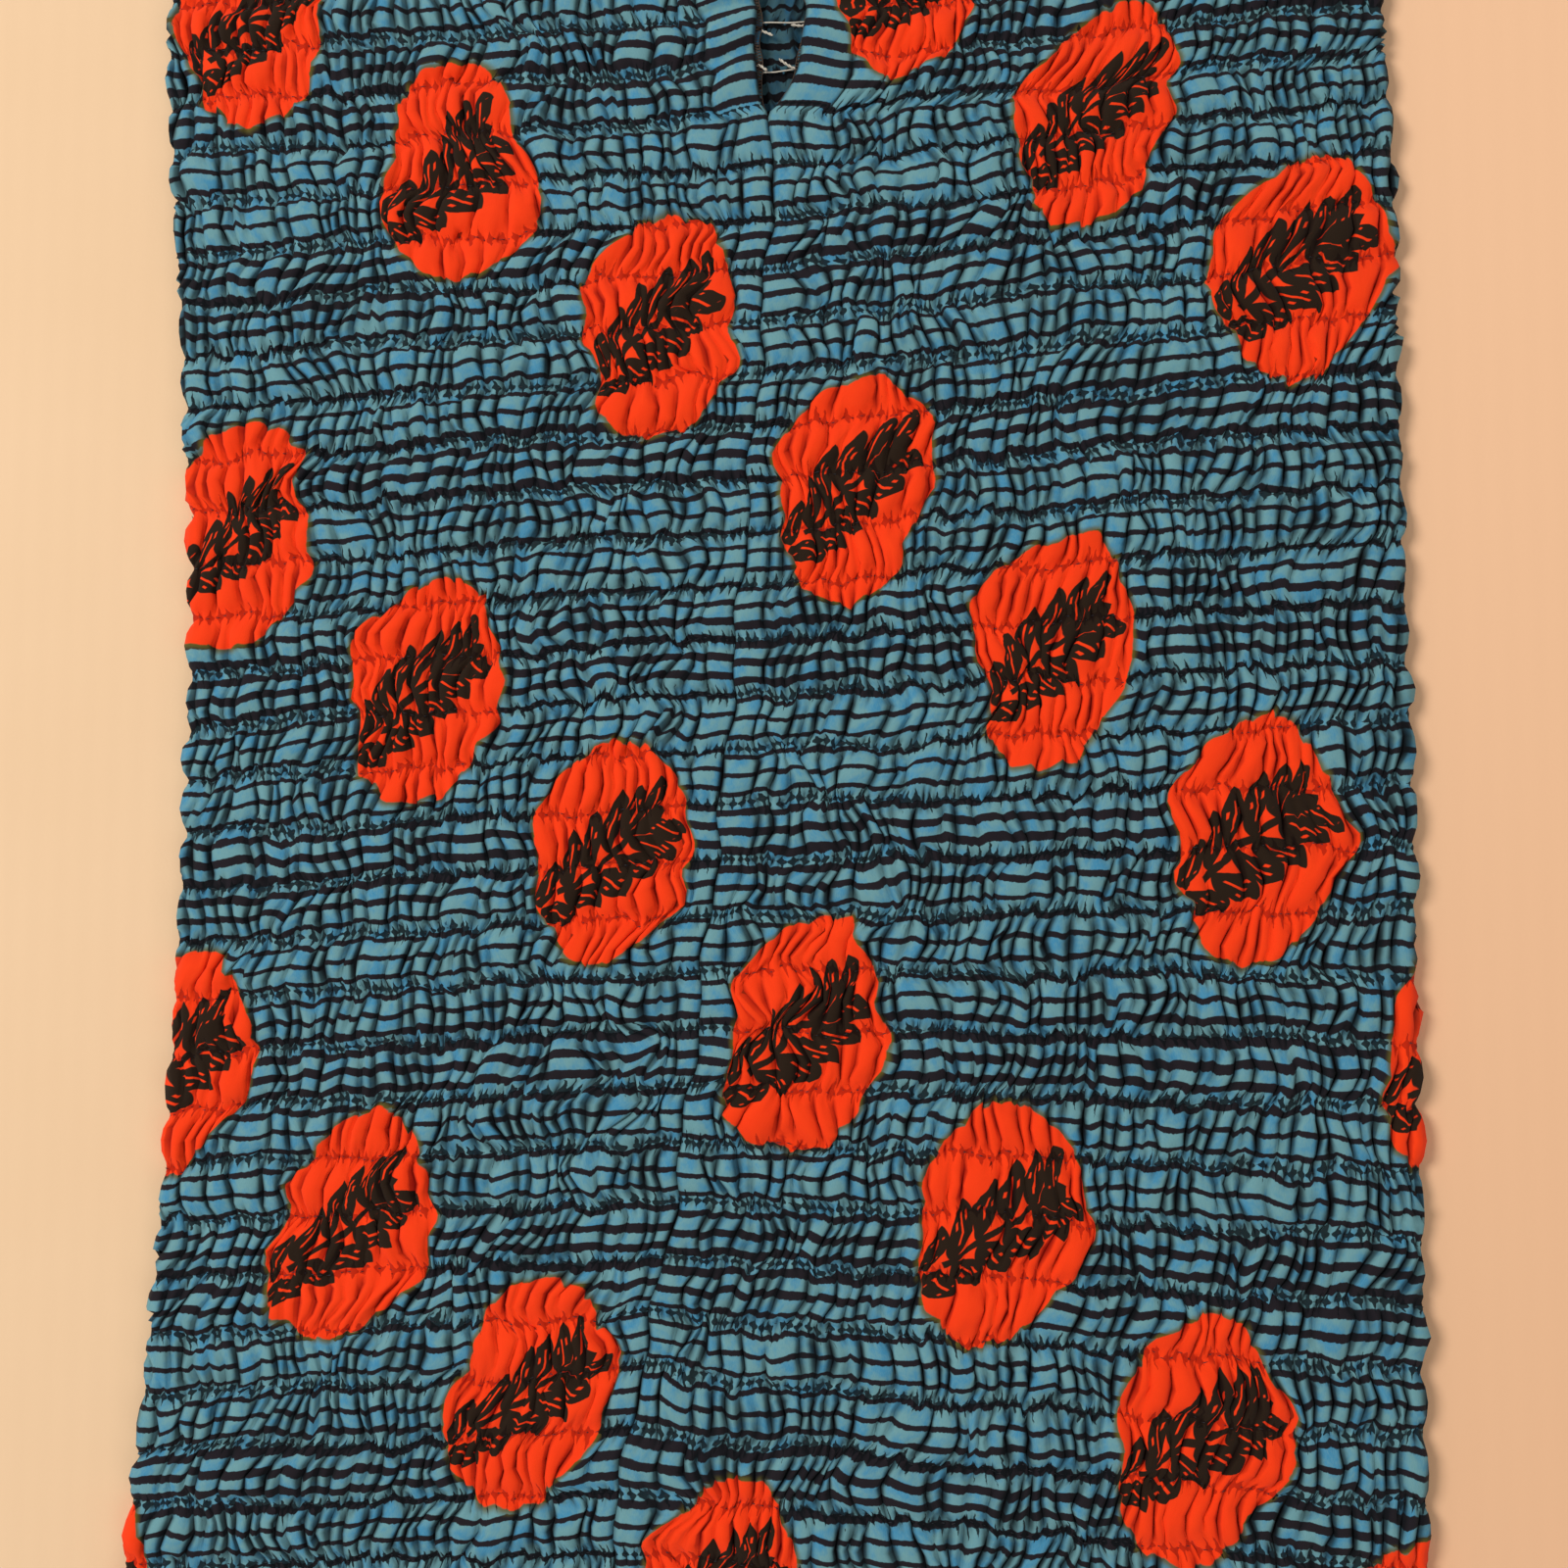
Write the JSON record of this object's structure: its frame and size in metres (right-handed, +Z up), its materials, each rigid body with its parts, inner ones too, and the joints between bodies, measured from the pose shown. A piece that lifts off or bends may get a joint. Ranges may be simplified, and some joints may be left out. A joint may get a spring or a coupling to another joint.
{
  "type": "shirred tube dress laid flat",
  "caption": "Strapless tube dress of wax print cotton, shirred all over with elastic thread, with a slit at the centre front, laid flat.",
  "frame": {"origin": "middle of the laid dress, on the surface it lies on", "axes": "+Y towards the neckline, +Z up out of the surface, +X to the right as seen from above"},
  "size_m": [0.3982, 0.8, 0.0086],
  "materials": {
    "wax_print_cotton": "matte",
    "elastic_thread": "matte",
    "sewing_thread": "matte"
  },
  "bodies": {
    "root": {"left_half": "wax_print_cotton", "right_half": "wax_print_cotton"}
  },
  "joints": []
}
